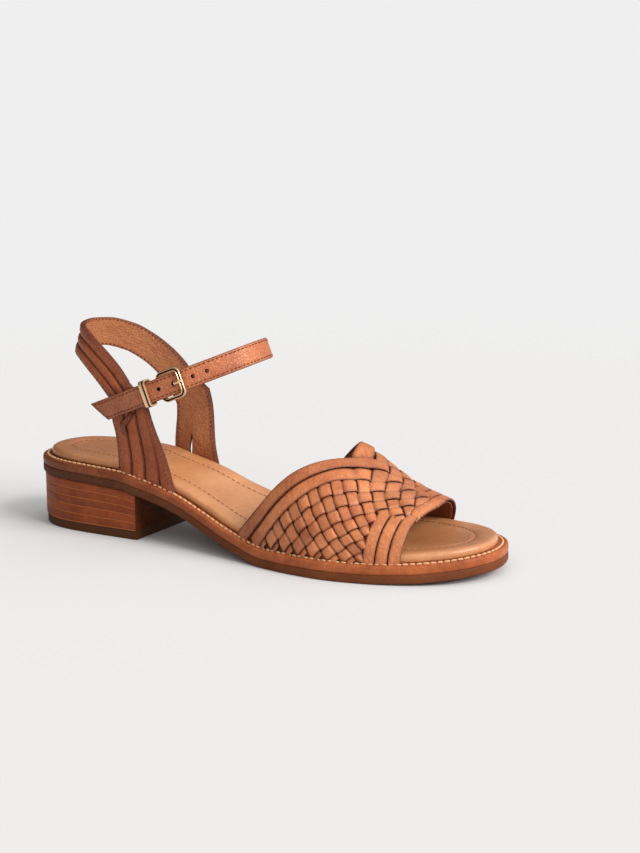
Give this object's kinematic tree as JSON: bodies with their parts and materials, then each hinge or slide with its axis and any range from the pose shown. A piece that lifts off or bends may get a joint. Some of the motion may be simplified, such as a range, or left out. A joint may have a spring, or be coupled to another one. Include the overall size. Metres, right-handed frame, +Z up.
{
  "type": "woven leather sandal",
  "caption": "Right-foot woven leather sandal with an open toe, heel loop, buckled ankle strap and low stacked block heel.",
  "frame": {"origin": "middle of the heel's ground face, on the floor", "axes": "+X towards the toe, +Y towards the inner side of the foot, +Z up"},
  "size_m": [0.25, 0.0894, 0.1034],
  "materials": {
    "sole_rubber": "dark olive-brown rubber, matt",
    "welt_leather": "reddish-brown edge-dyed leather, satin",
    "insole_leather": "light tan smooth leather, satin",
    "heel_rubber": "dark rubber, matt",
    "heel_leather": "burnished stacked leather, satin",
    "upper_leather": "warm tan leather with burnished edges, satin",
    "strap_leather": "pebbled tan leather, satin",
    "buckle_metal": "pale brushed gold"
  },
  "bodies": {
    "root": {"outsole": "sole_rubber", "welt": "welt_leather", "insole": "insole_leather", "top_lift": "heel_rubber", "heel_lift_1": "heel_leather", "heel_lift_2": "heel_leather", "heel_lift_3": "heel_leather", "heel_lift_4": "heel_leather", "heel_lift_5": "heel_leather", "vamp": "upper_leather", "quarter": "upper_leather", "ankle_strap": "strap_leather", "billet": "strap_leather", "buckle_frame": "buckle_metal", "buckle_prong": "buckle_metal", "keeper": "buckle_metal"}
  },
  "joints": []
}
